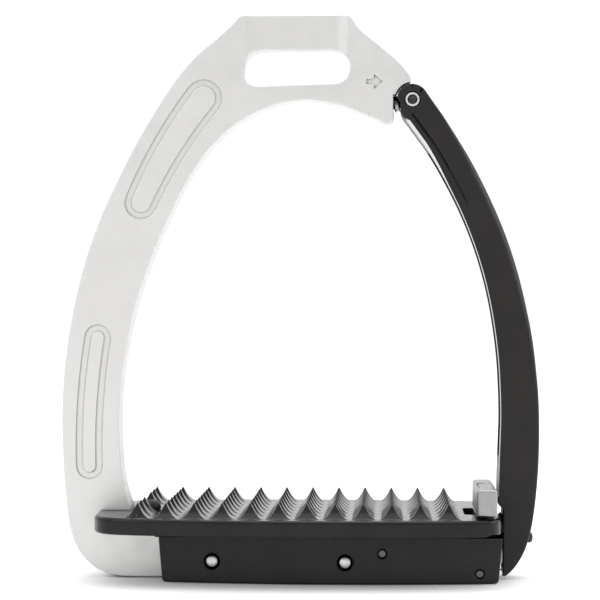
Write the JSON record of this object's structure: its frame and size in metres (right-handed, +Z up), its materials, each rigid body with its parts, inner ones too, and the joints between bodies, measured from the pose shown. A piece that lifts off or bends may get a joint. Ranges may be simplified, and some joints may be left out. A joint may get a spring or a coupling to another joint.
{
  "type": "safety stirrup iron",
  "caption": "Left-hand safety stirrup iron: silver frame with a leather eye, black toothed tread and a black hinged outer branch held by a spring-loaded release lever.",
  "frame": {"origin": "centre of the base, on the surface the stirrup stands on", "axes": "+Z up towards the leather eye, +X across the foot opening towards the opening outer branch, +Y away from the viewer of the front face"},
  "size_m": [0.1502, 0.0666, 0.1771],
  "materials": {
    "frame_aluminium": "bead-blasted and clear anodised, satin silver",
    "black_aluminium": "black anodised, satin",
    "tread_black": "black anodised, semi-gloss, milled",
    "polished_steel": "stainless steel, bright",
    "black_steel": "steel with a black oxide finish, satin",
    "spring_steel": "spring wire",
    "nylon": "natural nylon, matt",
    "rubber": "black rubber, matt"
  },
  "bodies": {
    "stirrup_frame": {"frame": "frame_aluminium", "hinge_stud": "polished_steel", "hinge_collar": "polished_steel", "tread": "tread_black", "tread_screw_top": "black_steel", "tread_screw_base_left": "polished_steel", "tread_screw_base_right": "polished_steel", "housing_front": "black_aluminium", "housing_rear": "black_aluminium", "cross_pin_left": "frame_aluminium", "cross_pin_right": "frame_aluminium", "lever_pivot_pin": "polished_steel", "spring_retaining_pin": "polished_steel", "spring_seat": "polished_steel", "return_spring": "spring_steel"},
    "outer_branch": {"arm": "black_aluminium", "hinge_pin": "polished_steel", "hinge_pin_nut": "polished_steel", "hinge_washer_front": "nylon", "hinge_washer_rear": "nylon", "striker": "polished_steel", "striker_screw": "black_steel", "arm_bumper": "rubber"},
    "lever": {"release_lever": "polished_steel", "lever_pedal": "frame_aluminium", "pedal_screw": "polished_steel"},
    "plunger": {"lever_plunger": "polished_steel"}
  },
  "joints": [
    {"name": "arm_hinge", "type": "hinge", "parent": "stirrup_frame", "child": "outer_branch", "pos_m": [0.0347, 0, 0.1503], "axis": [0, -1, 0], "range_deg": [0, 88]},
    {"name": "lever_pivot", "type": "hinge", "parent": "stirrup_frame", "child": "lever", "pos_m": [0.0552, 0, 0.00305], "axis": [0, -1, 0], "range_deg": [-2.5, 10], "stiffness_Nm_per_rad": 0.2},
    {"name": "plunger_slide", "type": "slide", "parent": "stirrup_frame", "child": "plunger", "axis": [-1, 0, 0], "range_m": [-0.0003, 0.00115], "deforming": ["return_spring"]}
  ],
  "couplings": [
    {"joint": "plunger_slide", "follows": "lever_pivot", "m_per_rad": 0.00645}
  ]
}
